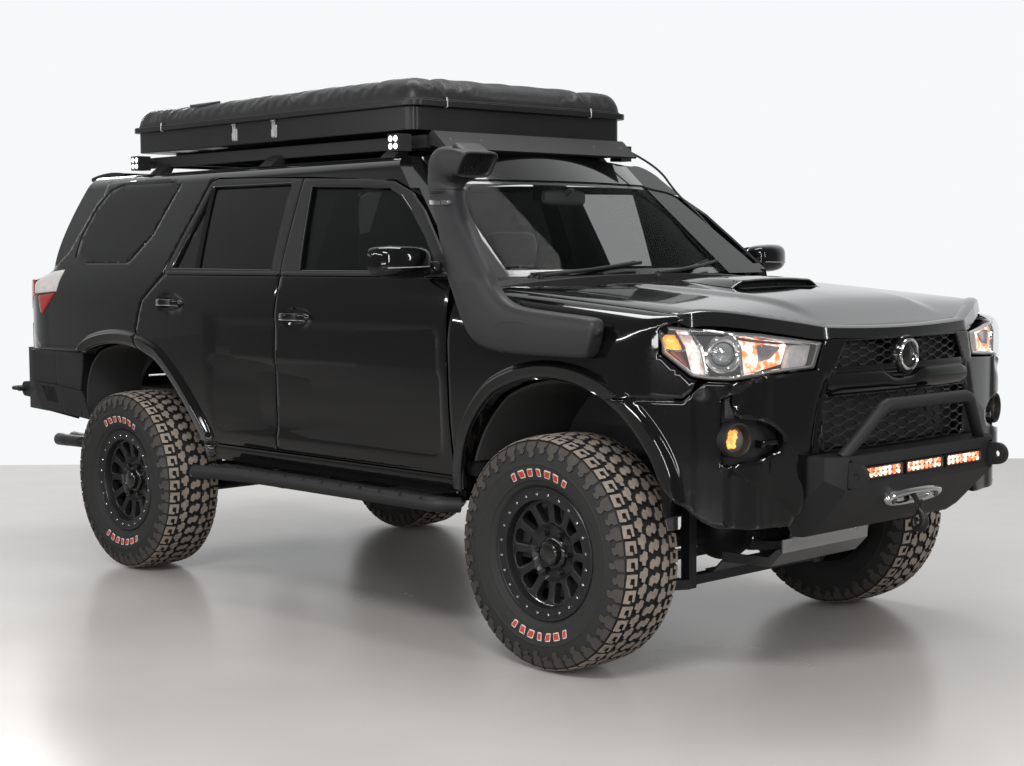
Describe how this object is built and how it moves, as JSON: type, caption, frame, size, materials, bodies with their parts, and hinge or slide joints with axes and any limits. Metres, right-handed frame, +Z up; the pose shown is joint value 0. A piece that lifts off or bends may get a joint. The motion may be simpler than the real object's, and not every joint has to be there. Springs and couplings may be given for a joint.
{
  "type": "off-road vehicle",
  "caption": "Lifted five-door off-road 4x4 with opening doors, hood and tailgate, steered wheels, winch bumper, snorkel, roof rack and roof tent.",
  "frame": {"origin": "middle of the whole vehicle's outline, on the ground", "axes": "+X forward, +Y to the vehicle's left, +Z up; wheels roll about Y"},
  "size_m": [5, 2.3704, 2.186],
  "materials": {
    "body_paint": "gloss black paint",
    "steel_black": "textured matte black powder coat",
    "chassis_black": "satin black chassis paint",
    "trim_black": "fine-grained black plastic",
    "grille_black": "gloss black plastic",
    "snorkel_plastic": "textured dark grey plastic",
    "tyre_rubber": "dusty tyre rubber",
    "wheel_black": "satin black wheel",
    "cast_metal": "cast iron and steel",
    "aluminium_plate": "bare aluminium",
    "exhaust_steel": "heat-stained steel",
    "window_glass": "clear glass",
    "tinted_glass": "tinted glass",
    "lamp_clear": "clear lamp cover",
    "lamp_red": "red and clear lamp cover",
    "lamp_amber": "amber lamp",
    "interior_dark": "dark cabin plastic",
    "seat_fabric": "dark grey seat cloth",
    "floor_carpet": "carpet and black undercoat",
    "tent_shell": "black moulded tray",
    "tent_fabric": "coated black cover cloth",
    "cable_black": "black cable sheath",
    "tank_plastic": "black tank"
  },
  "bodies": {
    "body": {"body_sides": "body_paint", "roof_panel": "body_paint", "fixed_glass": "window_glass", "cowl": "trim_black", "front_fenders": "body_paint", "front_bumper_cover": "body_paint", "headlights": "lamp_clear", "fog_lamps": "lamp_amber", "grille": "grille_black", "tail_lights": "lamp_red", "rear_axle": "chassis_black", "front_suspension": "chassis_black", "ladder_frame": "chassis_black", "skid_plate": "aluminium_plate", "powertrain": "cast_metal", "fuel_tank": "tank_plastic", "exhaust": "exhaust_steel", "cabin_floor": "floor_carpet", "seats": "seat_fabric", "dashboard": "interior_dark", "steering_wheel": "interior_dark", "winch_bumper": "steel_black", "bumper_hoop": "steel_black", "winch_fairlead": "aluminium_plate", "bumper_lights": "lamp_amber", "rear_bumper": "steel_black", "rock_sliders": "steel_black", "snorkel": "snorkel_plastic", "roof_rack": "steel_black", "tent_base": "tent_shell", "tent_cover": "tent_fabric", "light_cable": "cable_black"},
    "knuckle_left": {"knuckle_left": "cast_metal"},
    "wheel_front_left": {"tyre_front_left": "tyre_rubber", "rim_front_left": "wheel_black"},
    "door_front_left": {"door_front_left": "body_paint", "door_glass_front_left": "tinted_glass", "mirror_left": "body_paint"},
    "wheel_rear_left": {"tyre_rear_left": "tyre_rubber", "rim_rear_left": "wheel_black"},
    "door_rear_left": {"door_rear_left": "body_paint", "door_glass_rear_left": "tinted_glass"},
    "knuckle_right": {"knuckle_right": "cast_metal"},
    "wheel_front_right": {"tyre_front_right": "tyre_rubber", "rim_front_right": "wheel_black"},
    "door_front_right": {"door_front_right": "body_paint", "door_glass_front_right": "tinted_glass", "mirror_right": "body_paint"},
    "wheel_rear_right": {"tyre_rear_right": "tyre_rubber", "rim_rear_right": "wheel_black"},
    "door_rear_right": {"door_rear_right": "body_paint", "door_glass_rear_right": "tinted_glass"},
    "hood": {"hood": "body_paint"},
    "tailgate": {"tailgate": "body_paint", "tailgate_glass": "tinted_glass"}
  },
  "joints": [
    {"name": "steer_right", "type": "hinge", "parent": "body", "child": "knuckle_right", "pos_m": [1.505, -0.7, 0.415], "axis": [0, 0, 1], "range_deg": [-30, 30]},
    {"name": "steer_left", "type": "hinge", "parent": "body", "child": "knuckle_left", "pos_m": [1.505, 0.7, 0.415], "axis": [0, 0, 1], "range_deg": [-30, 30]},
    {"name": "roll_front_right", "type": "hinge", "parent": "knuckle_right", "child": "wheel_front_right", "pos_m": [1.505, -0.815, 0.415], "axis": [0, 1, 0], "continuous": true},
    {"name": "roll_rear_right", "type": "hinge", "parent": "body", "child": "wheel_rear_right", "pos_m": [-1.285, -0.815, 0.415], "axis": [0, 1, 0], "continuous": true},
    {"name": "roll_front_left", "type": "hinge", "parent": "knuckle_left", "child": "wheel_front_left", "pos_m": [1.505, 0.815, 0.415], "axis": [0, 1, 0], "continuous": true},
    {"name": "roll_rear_left", "type": "hinge", "parent": "body", "child": "wheel_rear_left", "pos_m": [-1.285, 0.815, 0.415], "axis": [0, 1, 0], "continuous": true},
    {"name": "open_front_right", "type": "hinge", "parent": "body", "child": "door_front_right", "pos_m": [1.0275, -0.9555, 1], "axis": [0, 0, 1], "range_deg": [0, 65]},
    {"name": "open_rear_right", "type": "hinge", "parent": "body", "child": "door_rear_right", "pos_m": [-0.0555, -0.9555, 1], "axis": [0, 0, 1], "range_deg": [0, 65]},
    {"name": "open_front_left", "type": "hinge", "parent": "body", "child": "door_front_left", "pos_m": [1.0275, 0.9555, 1], "axis": [0, 0, -1], "range_deg": [0, 65]},
    {"name": "open_rear_left", "type": "hinge", "parent": "body", "child": "door_rear_left", "pos_m": [-0.0555, 0.9555, 1], "axis": [0, 0, -1], "range_deg": [0, 65]},
    {"name": "open_hood", "type": "hinge", "parent": "body", "child": "hood", "pos_m": [1.19, 0, 1.38], "axis": [0, -1, 0], "range_deg": [0, 50]},
    {"name": "open_tailgate", "type": "hinge", "parent": "body", "child": "tailgate", "pos_m": [-1.68, 0, 1.87], "axis": [0, 1, 0], "range_deg": [0, 75]}
  ],
  "couplings": [
    {"joint": "steer_left", "follows": "steer_right", "ratio": 1}
  ]
}
